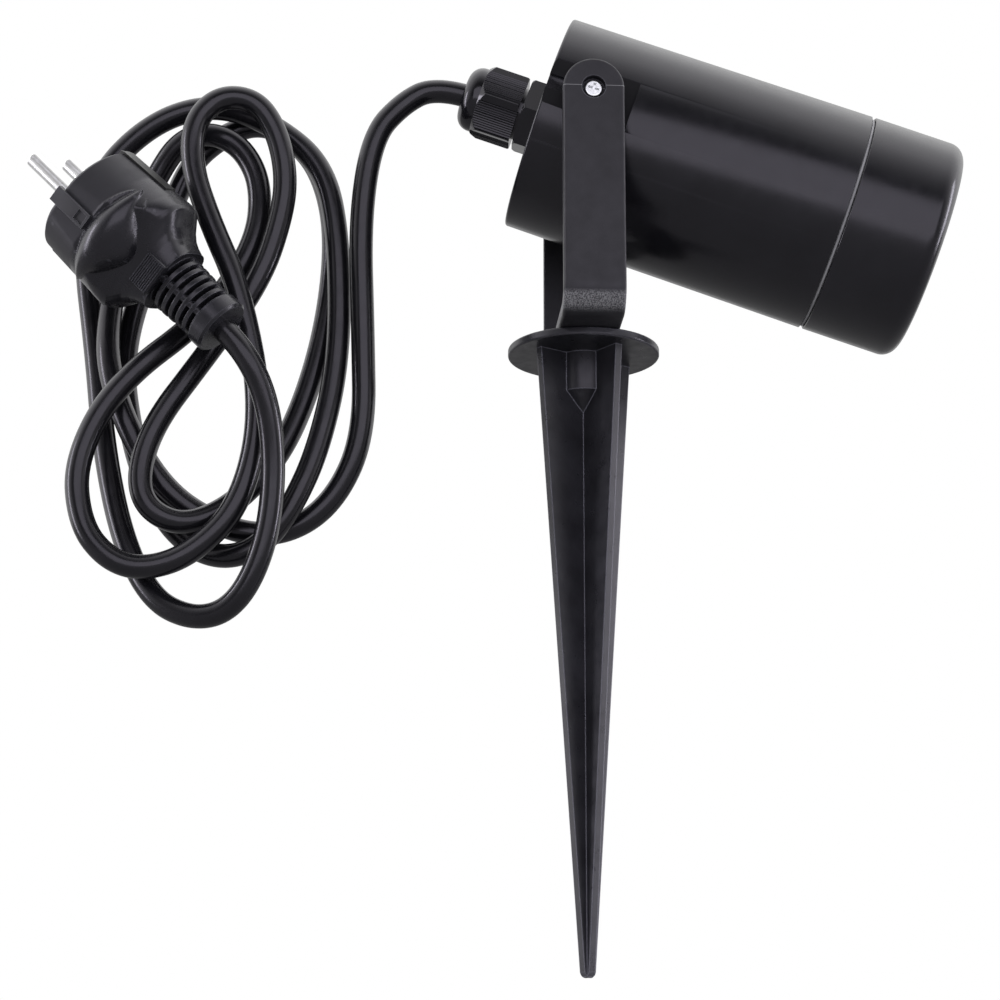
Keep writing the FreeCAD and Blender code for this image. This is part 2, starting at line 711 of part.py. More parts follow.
def thumb_bulge():
    """Lens along Z: a round bar whose four sides are arched in to two tips."""
    bulge = rod(eye_round, V(0, 0, -eye_half_len), V(0, 0, eye_half_len))
    for axis, half in ((X_AXIS, eye_round), (Y_AXIS, eye_half_wide)):
        arch_r = (eye_half_len ** 2 + half ** 2) / (2 * half)
        across = axis.cross(Z_AXIS) * (arch_r - half)
        for side in (-1, 1):
            middle = across * side
            bulge = bulge.common(rod(arch_r, middle - axis * arch_r, middle + axis * arch_r))
    return bulge


def make_plug_body():
    face = plug_len
    neck = relief_len
    body = turned([(neck, 0), (neck, neck_r), (face - waist_at, waist_r), (face - shoulder_at, shoulder_r),
                   (face - plug_r_at, plug_r), (face - plug_edge, plug_face_r),
                   (face, plug_face_r - plug_edge), (face, 0)])
    body = body.makeFillet(shoulder_round, rims_at(body, face - shoulder_at))
    body = body.makeFillet(waist_round, rims_at(body, face - waist_at))
    for side in (-1, 1):
        beyond = side * (plug_r + 1)
        slope = [V(neck - 1, side * side_neck, -plug_r),
                 V(face - side_waist_at, side * side_waist, -plug_r),
                 V(face - side_top_at, beyond, -plug_r),
                 V(neck - 1, beyond, -plug_r)]
        wedge = Part.Face(Part.makePolygon(slope + [slope[0]])).extrude(V(0, 0, 2 * plug_r))
        body = body.cut(wedge)
        eye = thumb_bulge()
        eye.translate(V(face - eye_at, side * (eye_top - eye_round), 0))
        body = body.fuse(eye)
        body = body.cut(block(face - plug_flat_len, face + 1, side * plug_flat_half, side * (plug_r + 3),
                              -plug_r, plug_r))
        x0 = face - pad_at - pad_len / 2
        body = body.fuse(block(x0, x0 + pad_len, 0, side * pad_top, -pad_width / 2, pad_width / 2))
        pitch = pad_len / pad_ribs
        for k in range(pad_ribs):
            at = x0 + k * pitch
            body = body.fuse(block(at, at + pitch / 2, side * pad_top, side * (pad_top + pad_rib_h),
                                   -pad_width / 2, pad_width / 2))
    body = body.cut(bridge_shape())
    for side in (-1, 1):
        body = body.cut(clip_shape(side))
    return body


def bridge_shape():
    """Hard pin carrier: a disc in the front face with a leg down each flat."""
    face = plug_len
    disc = along_x(bridge_disc_r, face - bridge_deep, face)
    leg_half = bridge_wide / 2
    for side in (-1, 1):
        inside = side * (plug_flat_half - bridge_inset)
        outside = side * (plug_flat_half + bridge_rise)
        disc = disc.fuse(block(face - bridge_leg, face + bridge_proud, inside, outside,
                               -leg_half, leg_half))
        disc = disc.fuse(block(face - bridge_deep, face, 0, outside, -leg_half, leg_half))
    return disc


def make_bridge():
    piece = bridge_shape()
    for side in (-1, 1):
        y = side * pin_pitch / 2
        piece = piece.cut(rod(pin_root_r, V(plug_len - bridge_deep - 1, y, 0), V(plug_len + 1, y, 0)))
        half = bridge_window / 2
        top = side * (plug_flat_half + bridge_rise)
        x0 = plug_len - bridge_leg + window_margin
        piece = piece.cut(block(x0, x0 + bridge_window, top - side * window_deep, top + side, -half, half))
    return piece


def clip_shape(side):
    """Earth contact strip, sunk in the plug's side."""
    return block(plug_len - clip_len, plug_len, -clip_width / 2, clip_width / 2,
                 side * (plug_face_r - clip_sink), side * (plug_face_r + clip_rise))


def make_plug_pins():
    def pin(side):
        y = side * pin_pitch / 2
        body = rod(pin_r, V(plug_len, y, 0), V(plug_len + pin_len, y, 0))
        body = body.makeFillet(pin_tip_r, rims_at(body, plug_len + pin_len))
        return body.fuse(rod(pin_root_r, V(plug_len - bridge_deep, y, 0), V(plug_len, y, 0)))
    return both_sides(pin)


def make_strain_relief():
    slots = relief_len - collar_len
    pitch = slots / relief_rings
    core = along_x(relief_core_r, 0, relief_len)
    collar = along_x(collar_r, 0, collar_len)
    collar = collar.makeFillet(collar_edge_r, rims_at(collar, 0))
    relief = core.fuse(collar)
    for k in range(relief_rings):
        at = collar_len + (k + 1 - ring_share) * pitch
        swell = relief_r + (neck_r - relief_r) * k / relief_rings
        relief = relief.fuse(along_x(swell, at, at + ring_share * pitch))
    for side in (-1, 1):
        relief = relief.fuse(block(collar_len, relief_len, 0, side * relief_r,
                                   -spine_width / 2, spine_width / 2))
    return relief


def main():
    os.makedirs("parts", exist_ok=True)
    save("ground_spike", make_spike())
    save("pan_insert", make_pan_insert())
    save("pan_screw", make_pan_screw())
    save("pan_washer", make_pan_washer())
    save("yoke", make_yoke())
    save("tilt_washers", make_tilt_washers())
    stub, lead, loops = make_cords()
    on_head = {
        "tilt_screws": make_tilt_screws(),
        "tilt_inserts": make_tilt_inserts(),
        "lamp_housing": make_housing(),
        "ring_seal": ring_piece(spigot_r, spigot_r + seal_proud, seam_x, ring_x),
        "front_ring": make_front_ring(),
        "glass_gasket": ring_piece(lip_open_r + gasket_inset, glass_r, gasket_x, glass_end_x),
        "front_glass": along_x(glass_r, glass_x, gasket_x),
        "glass_spacer": ring_piece(spigot_r - spigot_wall, glass_r, seam_x + spigot_len, glass_x),
        "bulb_reflector": make_bulb(),
        "bulb_face": along_x(bulb_r - bulb_lens_inset, bulb_face_x - bulb_face_thick, bulb_face_x),
        "bulb_pins": make_bulb_pins(),
        "lamp_holder": make_holder(),
        "holder_bracket": make_bracket(),
        "bracket_screws": make_bracket_screws(),
        "terminal_block": block(plate_x - block_len, plate_x, -block_half_y, block_half_y,
                                -block_half_z, block_half_z),
        "wire_live": make_wire(-1),
        "wire_neutral": make_wire(1),
        "wire_earth": make_wire(0),
        "gland_body": on_gland_axis(make_gland_body()),
        "gland_nut": on_gland_axis(make_gland_nut()),
        "gland_grommet": on_gland_axis(ring_piece(cord_r, gland_stub_r, grommet_x, grommet_end_x)),
        "gland_locknut": on_gland_axis(make_locknut()),
        "cord_inner": on_gland_axis(along_x(cord_r, nut_end_x, rear_x + cord_inner_end)),
    }
    for name, shape in on_head.items():
        save(name, place_head(shape))
    save("cord_stub", stub)
    save("cord_lead", lead)
    save("cord_loops", loops)
    on_plug = {
        "plug_strain_relief": make_strain_relief(),
        "plug_body": make_plug_body(),
        "plug_bridge": make_bridge(),
        "plug_pins": make_plug_pins(),
        "plug_earth_clips": Part.makeCompound([clip_shape(-1), clip_shape(1)]),
    }
    for name, shape in on_plug.items():
        save(name, place_plug(shape))


main()
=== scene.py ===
import math

import bmesh
import bpy
import numpy as np
from mathutils import Matrix, Vector


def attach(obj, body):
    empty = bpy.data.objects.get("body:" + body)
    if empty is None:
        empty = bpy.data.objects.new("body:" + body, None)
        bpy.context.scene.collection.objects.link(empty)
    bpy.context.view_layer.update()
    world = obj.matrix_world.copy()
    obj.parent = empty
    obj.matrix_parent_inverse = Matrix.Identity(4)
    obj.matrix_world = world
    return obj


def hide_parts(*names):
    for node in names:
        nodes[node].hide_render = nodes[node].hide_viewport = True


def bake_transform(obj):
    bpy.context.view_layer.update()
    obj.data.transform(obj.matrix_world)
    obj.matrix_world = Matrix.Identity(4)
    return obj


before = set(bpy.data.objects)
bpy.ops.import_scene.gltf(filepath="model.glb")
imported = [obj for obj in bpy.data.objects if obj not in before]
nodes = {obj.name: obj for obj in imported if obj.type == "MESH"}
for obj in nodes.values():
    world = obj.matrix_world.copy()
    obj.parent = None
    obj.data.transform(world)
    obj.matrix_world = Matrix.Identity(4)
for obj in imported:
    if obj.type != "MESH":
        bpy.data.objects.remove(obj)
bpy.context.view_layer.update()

# ---------------------------------------------------------------- sizes of the head
# In millimetres, as in the part's source; x runs forwards from the tilt axis.
MM = 0.001
TILT_REST = 18.5            # degrees below the horizontal
PIVOT_Z = 70.9
REAR_X = -13.8
SEAM_X = 81.5
RING_X = 82.7
FRONT_X = 111.7
REAR_R = 32.9
SEAM_R = 33.7
REAR_EDGE_R = 0.8
WALL = 3.0
REAR_WALL = 3.5
AXIS_HOLE_R = 1.0           # turned profiles stop short of the axis
FACET_HALF = 32.1
FACET_X = 12.5
SLOT_WIDTH = 4.6
SLOT_DEPTH = 1.6
SLOT_LEN = 9.5
CUT_BEYOND = 40.0           # cutters reach out to here
HOUSING_EDGE = 0.25
SPIGOT_R = 31.6
SPIGOT_BORE_R = 28.9
SPIGOT_LEN = 6.8
LIP_OPEN_R = 26.5
LIP_THICK = 3.0
LIP_EDGE = 0.6
RING_BORE_R = 31.7
RING_EDGE = 0.25
FRONT_ROUND = 5.0
SEAL_R = 33.0
SEAL_SHOULDER_R = 32.6
SEAL_PLAY = 0.05
SEAL_EDGE = 0.35
TURN_STEPS = 256

# ---------------------------------------------------------------- sizes of the gland
GLAND_RISE = 0.6
GLAND_TURN = 11.0           # degrees
GLAND_APOTHEM = 10.25
GLAND_CORNER = GLAND_APOTHEM / math.cos(math.pi / 6)
GLAND_HEX_X = -19.5
GLAND_CHAMFER = 0.75
STUB_R = 8.0
STUB_LEN = 2.0
NUT_X = -20.5
NUT_HEX_END = -33.2
NUT_END = -38.4
NUT_FRONT_CHAMFER = 0.5
NUT_FRONT_SLOPE = 1.2
NUT_BROW = 0.3
NUT_REAR_SLOPE = 0.863
GROOVE_DEPTH = 0.26
GROOVE_PITCH = 0.735
GROOVE_LOW = -3.7           # grooves of each flat lie between these two places
GROOVE_HIGH = 5.5
GROOVE_POWER = 0.6
NUT_STEPS = 900
GLAND_STEPS = 360
DOME_R = 9.9
DOME_ROUND = 4.3
DOME_MOUTH = ((0, 4.4), (0.5, 3.9), (1.5, 3.7))     # depth and radius round the cord

# ---------------------------------------------------------------- sizes of the plug
# x runs from the strain relief's end to the front face.
PLUG_LEN = 58.0
PLUG_NECK = 21.5
# Half widths at distances behind the front face: across the pins and beside them.
WING_PROFILE = ((0, 17.3), (0.8, 18.1), (12, 18.8), (20, 19.2), (25.5, 19.3), (26.8, 18.7),
                (28.2, 16.8), (30, 14.2), (32, 12.3), (34, 11.2), (36.5, 10.4))
SIDE_PROFILE = ((0, 16.6), (0.6, 17.1), (12.5, 17.1), (18, 15.4), (24, 12.6), (28, 11.3),
                (32, 10.4), (36.5, 9.6))
DRUM_CREASE = 0.25
BOX_POWER = 3.2             # roundness of the section behind the drum
BOX_FROM = 21.0             # distance behind the front where the drum starts to become a box
BOX_OVER = 6.0
EYE_HALF_ANGLE = 59.0       # thumb bulges
EYE_AT = 18.3
EYE_LEAN = 1.8
EYE_TOP = 20.4
EYE_SAG = 0.5
EYE_FRONT = (5.9, 0.8, 3.6)             # reach, the tips' shape and drop at the rim
EYE_BACK = (7.8, 0.55, 6.4)
EYE_POWER = 2.1
EYE_RIM = 1.25
EYE_CREASE = 0.12
EYE_LEAST_REACH = 0.05
EYE_LIP_HEIGHT = 0.3        # raised line round one half of a bulge
EYE_LIP_WIDTH = 0.09
EYE_LIP_FROM = 0.15
EYE_LIP_FADE = (4.0, 0.4)   # rise and start of the line towards the bulge's tips
EYE_LIP_LEAST = 0.05
RELIEF_RINGS = 6
RELIEF_R = 8.3
RELIEF_GROWTH = 0.9
RELIEF_CORE_R = 5.0
RELIEF_WINDOW_HALF = 0.19   # share of the pitch
RELIEF_RING_EDGE = 55.0
RELIEF_RIB_TURN = 6.0       # degrees
RELIEF_RIB_HALF = 9.5
RELIEF_RIB_EDGE = 45.0
RELIEF_RIB_RISE = 0.92
RELIEF_STEP = 0.12
COLLAR_LEN = 4.8
COLLAR_R = 8.9
COLLAR_EDGE = 0.8
COLLAR_SLOPE = 0.9
PAD_ENDS = (37.6, 30.6)     # distances behind the front face
PAD_HALF = 5.2
PAD_FOOT = 9.0
PAD_TOP = 12.3
PAD_EDGE = 0.6
PAD_FLOOR_ENDS = (37.25, 30.95)
PAD_FLOOR_HALF = 4.85
PAD_FLOOR_FOOT = 12.0
PAD_FLOOR_TOP = 12.34
PAD_RIBS = 9
PAD_RIB_FROM = 37.2
PAD_RIB_PITCH = 0.74
PAD_RIB_WIDTH = 0.36
PAD_RIB_HALF = 4.8
PAD_RIB_TOP = 12.65
# Earth strips: distance before the front face, inner and outer radius, half width.
EARTH_STRIP = ((-19, 18.0, 19.0, 2.4), (-18.5, 18.0, 19.5, 2.6), (-1, 16.5, 18.7, 2.6),
               (0.4, 16.5, 18.2, 2.4))
MATT_FROM = 13.5            # distance behind the front face
MATT_OVER = 0.0015

# ---------------------------------------------------------------- camera and studio
CAMERA_AZIMUTH = -3.55
CAMERA_ELEVATION = -14.9
CAMERA_ROLL = 0.09
CAMERA_TARGET = Vector((-0.02497, 0, -0.0445))
CAMERA_DISTANCE = 0.760
CAMERA_LENS = 93.02
SENSOR_WIDTH = 36
CLIP_END = 20
FLOOR_Z = -0.275
FLOOR_HALF = 6.0
LIGHT_COLOUR = (0.99, 0.97, 1.06)

# ---------------------------------------------------------------- cord and plug
# The radius is in millimetres, the places and lengths are in metres.
CORD_R = 3.55
CORD_EXIT = (-0.03623, 0, 0.08365)
# Control points of the cord's line, from the gland to the plug's collar.
CORD_POINTS = [
    (-0.0455, 0, 0.086), (-0.055, 0, 0.0805), (-0.064, 0, 0.0695), (-0.0675, 0.001, 0.043),
    (-0.066, 0.0025, 0.0075), (-0.065, 0.0065, -0.024), (-0.074, 0.01, -0.044),
    (-0.0885, 0.0115, -0.0535), (-0.1055, 0.011, -0.0525), (-0.1265, 0.009, -0.0395),
    (-0.142, 0.0075, -0.0075), (-0.143, 0.017, 0.02), (-0.137, 0.018, 0.044),
    (-0.1295, 0.014, 0.0615), (-0.1225, 0.0095, 0.0705), (-0.113, 0.0075, 0.0725),
    (-0.1035, 0.007, 0.0675), (-0.0975, 0.0065, 0.055), (-0.0985, 0.005, 0.036),
    (-0.112, 0.003, 0.012), (-0.1385, 0, -0.011), (-0.1495, -0.001, -0.035),
    (-0.147, -0.0015, -0.0545), (-0.1385, -0.0025, -0.065), (-0.128, -0.003, -0.068),
    (-0.1145, -0.004, -0.0635), (-0.1005, -0.0045, -0.0485), (-0.095, -0.0055, -0.0195),
    (-0.1025, -0.007, 0.0165), (-0.112, -0.006, 0.038), (-0.1182, -0.0052, 0.056),
    (-0.118, -0.0052, 0.0705), (-0.1105, -0.005, 0.079), (-0.1, -0.0045, 0.0785),
    (-0.0935, -0.0035, 0.07), (-0.09, -0.0025, 0.057), (-0.0905, -0.001, 0.044),
    (-0.097, 0.001, 0.022), (-0.1145, 0.002, -0.004), (-0.1265, 0.001, -0.022),
    (-0.131, 0.0005, -0.037), (-0.129, 0, -0.048), (-0.1195, 0.0005, -0.0535),
    (-0.109, 0.0025, -0.0505), (-0.098, 0.0055, -0.041), (-0.0865, 0.0095, -0.023),
    (-0.0775, 0.013, 0.0085), (-0.0745, 0.0155, 0.0415), (-0.079, 0.0165, 0.0635),
    (-0.089, 0.0175, 0.076), (-0.0995, 0.018, 0.0805), (-0.1105, 0.0185, 0.076),
    (-0.121, 0.0195, 0.066), (-0.129, 0.0225, 0.042), (-0.1395, 0.0205, 0.006),
    (-0.1345, 0.018, -0.025), (-0.1255, 0.016, -0.0465), (-0.115, 0.012, -0.058),
    (-0.1045, 0.0065, -0.062), (-0.0945, 0.004, -0.0585), (-0.086, 0.003, -0.047),
    (-0.0785, 0.0045, -0.0285), (-0.073, 0.0065, 0), (-0.0735, 0.007, 0.037),
    (-0.0785, 0.008, 0.0625), (-0.095, 0.0095, 0.077), (-0.1135, 0.011, 0.0835),
    (-0.1325, 0.0135, 0.0775), (-0.149, 0.019, 0.061), (-0.152, 0.0225, 0.038),
    (-0.1465, 0.0195, 0.004), (-0.1425, 0.014, -0.0275), (-0.1355, 0.009, -0.0565),
    (-0.126, 0.0045, -0.075), (-0.1145, 0, -0.0815), (-0.1045, -0.0035, -0.0805),
    (-0.097, -0.007, -0.072), (-0.092, -0.0095, -0.056), (-0.091, -0.013, -0.037),
    (-0.0935, -0.018, -0.02),
]
PLUG_STRAIGHT = 0.009       # the cord runs straight for this long before the plug
PLUG_END = Vector((-0.1066, -0.0208, -0.0002))
PLUG_AXIS = Vector((-0.692, 0.120, 0.712)).normalized()
PIN_LINE = Vector((0.420, 0.857, 0.290))


def head_place():
    """From the head's frame in millimetres to the row frame in metres."""
    turn = Matrix.Rotation(math.radians(TILT_REST), 4, "Y")
    return Matrix.Translation((0, 0, PIVOT_Z * MM)) @ turn @ Matrix.Scale(MM, 4)


def gland_place():
    return head_place() @ Matrix.Translation((0, 0, GLAND_RISE))


def plug_place():
    """From the plug's frame, its cord end at the origin and its pins along +X."""
    x = PLUG_AXIS
    z = x.cross(PIN_LINE).normalized()
    y = z.cross(x)
    turn = Matrix((x, y, z)).transposed().to_4x4()
    return Matrix.Translation(PLUG_END) @ turn @ Matrix.Scale(MM, 4)


# ---------------------------------------------------------------- mesh helpers
def add_object(name, data):
    piece = bpy.data.objects.new(name, data)
    bpy.context.scene.collection.objects.link(piece)
    return piece


def smooth(mesh, sharp=32):
    for face in mesh.polygons:
        face.use_smooth = True
    mesh.set_sharp_from_angle(angle=math.radians(sharp))


def circle(x, r, steps):
    """Ring of points round the X axis."""
    turns = [2 * math.pi * k / steps for k in range(steps)]
    return [(x, r * math.cos(turn), r * math.sin(turn)) for turn in turns]


def skin(name, rings, place, sharp=32):
    """Closed skin through rings of points, with flat ends."""
    mesh = bpy.data.meshes.new(name)
    count = len(rings[0])
    points = [place @ Vector(p) for ring in rings for p in ring]
    faces = []
    for k in range(len(rings) - 1):
        for i in range(count):
            j = (i + 1) % count
            near, far = k * count, (k + 1) * count
            faces.append((near + i, near + j, far + j, far + i))
    faces.append(tuple(range(count))[::-1])
    faces.append(tuple(range((len(rings) - 1) * count, len(rings) * count)))
    mesh.from_pydata(points, [], faces)
    build = bmesh.new()
    build.from_mesh(mesh)
    bmesh.ops.recalc_face_normals(build, faces=build.faces)
    build.to_mesh(mesh)
    build.free()
    smooth(mesh, sharp)
    return add_object(name, mesh)


def lathe(name, profile, place, steps=TURN_STEPS):
    """Turned piece about X from a closed profile of (x, radius) points."""
    rings = [circle(x, r, steps) for x, r in profile + [profile[0]]]
    piece = skin(name, rings, place)
    build = bmesh.new()
    build.from_mesh(piece.data)
    ends = [f for f in build.faces if len(f.verts) > 4]
    bmesh.ops.delete(build, geom=ends, context="FACES")
    bmesh.ops.remove_doubles(build, verts=build.verts, dist=1e-7)
    bmesh.ops.recalc_face_normals(build, faces=build.faces)
    build.to_mesh(piece.data)
    build.free()
    smooth(piece.data)
    return piece


def arc(centre_x, centre_r, radius, start, end, steps=8):
    """Profile points on a circle, angles in degrees from +x towards +radius."""
    points = []
    for k in range(steps + 1):
        angle = math.radians(start + (end - start) * k / steps)
        points.append((centre_x + radius * math.cos(angle), centre_r + radius * math.sin(angle)))
    return points


def box_piece(name, low, high, place):
    """Block between two corners."""
    mesh = bpy.data.meshes.new(name)
    build = bmesh.new()
    bmesh.ops.create_cube(build, size=1)
    middle = [(a + b) / 2 for a, b in zip(low, high)]
    size = [b - a for a, b in zip(low, high)]
    bmesh.ops.scale(build, vec=size, verts=build.verts)
    bmesh.ops.translate(build, vec=middle, verts=build.verts)
    bmesh.ops.transform(build, matrix=place, verts=build.verts)
    build.to_mesh(mesh)
    build.free()
    return add_object(name, mesh)


def join(name, pieces):
    """One piece from several that lie apart."""
    build = bmesh.new()
    for piece in pieces:
        build.from_mesh(piece.data)
        bpy.data.objects.remove(piece)
    mesh = bpy.data.meshes.new(name)
    build.to_mesh(mesh)
    build.free()
    return add_object(name, mesh)


def settle(piece):
    """Turns the piece's modifiers into its mesh."""
    graph = bpy.context.evaluated_depsgraph_get()
    mesh = bpy.data.meshes.new_from_object(piece.evaluated_get(graph))
    piece.modifiers.clear()
    old = piece.data
    piece.data = mesh
    bpy.data.meshes.remove(old)


def cut_away(piece, cutters):
    for cutter in cutters:
        change = piece.modifiers.new("cut", "BOOLEAN")
        change.object = cutter
        change.operation = "DIFFERENCE"
        change.solver = "EXACT"
    settle(piece)
    for cutter in cutters:
        bpy.data.objects.remove(cutter)


def soften(piece, width, angle=30):
    """Small rounded edges; the width is in metres."""
    bevel = piece.modifiers.new("soft edges", "BEVEL")
    bevel.width = width
    bevel.segments = 3
    bevel.limit_method = "ANGLE"
    bevel.angle_limit = math.radians(angle)
    bevel.use_clamp_overlap = True
    settle(piece)
    smooth(piece.data, 40)


def finish_piece(piece, body, material, replaced=()):
    """Dresses a piece and hands it to the frame."""
    piece.data.materials.clear()
    piece.data.materials.append(material)
    if replaced:
        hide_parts(*replaced)
    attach(piece, body)
    return piece


# ---------------------------------------------------------------- shader helpers
def new_material(name):
    """A material, its node tree and its shader."""
    made = bpy.data.materials.new(name)
    made.use_nodes = True
    tree = made.node_tree
    return made, tree, tree.nodes["Principled BSDF"]


def own_place(tree):
    """Place in the object's own frame, in metres."""
    return tree.nodes.new("ShaderNodeTexCoord").outputs["Object"]


def noise(tree, scale, detail=4.0):
    """Noise on the object's own place; scale counts features per metre."""
    texture = tree.nodes.new("ShaderNodeTexNoise")
    texture.inputs["Scale"].default_value = scale
    texture.inputs["Detail"].default_value = detail
    tree.links.new(own_place(tree), texture.inputs["Vector"])
    return texture.outputs["Fac"]


def spread(tree, value, low, high, start=0.3, end=0.7):
    """Maps a value between start and end to low and high, and stops there."""
    ramp = tree.nodes.new("ShaderNodeMapRange")
    ramp.inputs["From Min"].default_value = start
    ramp.inputs["From Max"].default_value = end
    ramp.inputs["To Min"].default_value = low
    ramp.inputs["To Max"].default_value = high
    tree.links.new(value, ramp.inputs["Value"])
    return ramp.outputs["Result"]


def calculate(tree, operation, first, second):
    """A value made from two others."""
    node = tree.nodes.new("ShaderNodeMath")
    node.operation = operation
    tree.links.new(first, node.inputs[0])
    tree.links.new(second, node.inputs[1])
    return node.outputs[0]


def mix_colours(tree, share, first, second):
    """Between two colours, each a plain colour or another node's."""
    mix = tree.nodes.new("ShaderNodeMix")
    mix.data_type = "RGBA"
    for name, colour in (("A", first), ("B", second)):
        if isinstance(colour, tuple):
            mix.inputs[name].default_value = (*colour, 1)
        else:
            tree.links.new(colour, mix.inputs[name])
    tree.links.new(share, mix.inputs["Factor"])
    return mix.outputs["Result"]


def mottled(tree, scale, dark, light):
    return mix_colours(tree, spread(tree, noise(tree, scale), 0, 1), dark, light)


def rounded_normal(tree, width):
    """Normal as if the edges were rounded by this radius."""
    bevel = tree.nodes.new("ShaderNodeBevel")
    bevel.samples = 4
    bevel.inputs["Radius"].default_value = width
    return bevel.outputs["Normal"]


def bump(tree, shader, value, depth, strength, edge=0.0):
    """Fine relief, over edges that are rounded by this radius."""
    node = tree.nodes.new("ShaderNodeBump")
    if edge:
        tree.links.new(rounded_normal(tree, edge), node.inputs["Normal"])
    node.inputs["Distance"].default_value = depth
    node.inputs["Strength"].default_value = strength
    tree.links.new(value, node.inputs["Height"])
    tree.links.new(node.outputs["Normal"], shader.inputs["Normal"])


def painted_edge_highlight(tree, tone, width, light):
    """Painted highlight: lighter colour where a rounded edge turns away from the face."""
    face = tree.nodes.new("ShaderNodeNewGeometry")
    turn = tree.nodes.new("ShaderNodeVectorMath")
    turn.operation = "DOT_PRODUCT"
    tree.links.new(rounded_normal(tree, width), turn.inputs[0])
    tree.links.new(face.outputs["Normal"], turn.inputs[1])
    return mix_colours(tree, spread(tree, turn.outputs["Value"], 1, 0, 0.86, 0.985), tone, light)


# ---------------------------------------------------------------- materials
# Noise scales in features per metre.
TONE_SCALE = 90
GLOSS_SCALE = 260
METAL_TONE_SCALE = 500
METAL_GLOSS_SCALE = 900
METAL_GRAIN_SCALE = 2500
METAL_GRAIN_DEPTH = 0.00002
GLASS_SCALE = 60
PLASTIC_IOR = 1.49
GLASS_IOR = 1.5
COOL_TINT = (0.95, 0.92, 1.0, 1)


def moulded(name, dark, light, rough, scale, depth, grain=0.3, rim_highlight=0.0, edge=0.0):
    """Moulded plastic or rubber: mottled colour and gloss, fine grain, painted highlights on
    pointed and rounded edges.
    """
    made, tree, shader = new_material(name)
    tone = mottled(tree, TONE_SCALE, dark, light)
    # Painted highlight: lighter colour where the surface comes to a sharp edge.
    if rim_highlight:
        shape = tree.nodes.new("ShaderNodeNewGeometry")
        rim_share = spread(tree, shape.outputs["Pointiness"], 0, rim_highlight, 0.52, 0.62)
        tone = mix_colours(tree, rim_share, tone, tuple(min(c * 3 + 0.02, 1) for c in light))
    # Painted highlight along the rounded edges.
    if edge:
        tone = painted_edge_highlight(tree, tone, edge, tuple(c * 9 for c in light))
    tree.links.new(tone, shader.inputs["Base Color"])
    gloss = spread(tree, noise(tree, GLOSS_SCALE), rough[0], rough[1])
    tree.links.new(gloss, shader.inputs["Roughness"])
    shader.inputs["IOR"].default_value = PLASTIC_IOR
    shader.inputs["Specular Tint"].default_value = COOL_TINT
    bump(tree, shader, noise(tree, scale, 2.0), depth, grain, edge)
    return made


def metal(name, colour, rough, grain=0.3):
    """Metal with slightly uneven tone and gloss."""
    made, tree, shader = new_material(name)
    light = tuple(min(c * 1.12, 1) for c in colour)
    tree.links.new(mottled(tree, METAL_TONE_SCALE, colour, light), shader.inputs["Base Color"])
    shader.inputs["Metallic"].default_value = 1
    gloss = spread(tree, noise(tree, METAL_GLOSS_SCALE, 3), rough[0], rough[1])
    tree.links.new(gloss, shader.inputs["Roughness"])
    bump(tree, shader, noise(tree, METAL_GRAIN_SCALE, 2), METAL_GRAIN_DEPTH, grain)
    return made


def clear_glass(name, tint):
    made, tree, shader = new_material(name)
    shader.inputs["Base Color"].default_value = (*tint, 1)
    shader.inputs["Transmission Weight"].default_value = 1
    shader.inputs["IOR"].default_value = GLASS_IOR
    tree.links.new(spread(tree, noise(tree, GLASS_SCALE), 0.0, 0.05), shader.inputs["Roughness"])
    return made


# Where a material asks for them, its sharp and rounded edges get painted highlights.
HEAD = moulded("head plastic", (0.005, 0.005, 0.0065), (0.008, 0.008, 0.0102), (0.19, 0.25),
               scale=5200, depth=0.00003, grain=0.25, rim_highlight=0.2)
ARM = moulded("yoke plastic", (0.008, 0.008, 0.010), (0.015, 0.015, 0.018), (0.44, 0.58),
              scale=2600, depth=0.00006, grain=0.6, edge=0.0005)
FACET = moulded("facet plastic", (0.006, 0.006, 0.007), (0.009, 0.009, 0.010), (0.6, 0.7),
                scale=5200, depth=0.00003, grain=0.25)
FACET.node_tree.nodes["Principled BSDF"].inputs["Specular IOR Level"].default_value = 0.15
SPIKE = moulded("spike plastic", (0.009, 0.009, 0.0115), (0.024, 0.024, 0.029), (0.26, 0.4),
                scale=3000, depth=0.00004, grain=0.4, rim_highlight=0.8, edge=0.0005)
GLAND = moulded("gland plastic", (0.005, 0.005, 0.0062), (0.009, 0.009, 0.0112), (0.1, 0.18),
                scale=3000, depth=0.00002, grain=0.2, rim_highlight=0.1)
CORD = moulded("cord rubber", (0.0055, 0.0055, 0.0068), (0.0095, 0.0095, 0.0115), (0.17, 0.26),
               scale=2200, depth=0.00004)
PLUG = moulded("plug rubber", (0.010, 0.010, 0.0123), (0.0165, 0.0165, 0.020), (0.22, 0.3),
               scale=3200, depth=0.00003, grain=0.35, rim_highlight=0.5, edge=0.0002)
BRIDGE = moulded("pin carrier", (0.022, 0.022, 0.024), (0.032, 0.032, 0.035), (0.36, 0.46),
                 scale=3000, depth=0.00003, rim_highlight=0.3, edge=0.00015)
SEAL = moulded("seal rubber", (0.32, 0.32, 0.33), (0.42, 0.42, 0.43), (0.55, 0.7),
               scale=2500, depth=0.00004, grain=0.4)
CERAMIC = moulded("holder ceramic", (0.72, 0.71, 0.67), (0.8, 0.79, 0.75), (0.3, 0.45),
                  scale=2000, depth=0.00003)
WIRE_BROWN = moulded("wire brown", (0.16, 0.06, 0.025), (0.2, 0.08, 0.03), (0.35, 0.45),
                     scale=2000, depth=0.00002)
WIRE_BLUE = moulded("wire blue", (0.03, 0.1, 0.38), (0.04, 0.13, 0.45), (0.35, 0.45),
                    scale=2000, depth=0.00002)
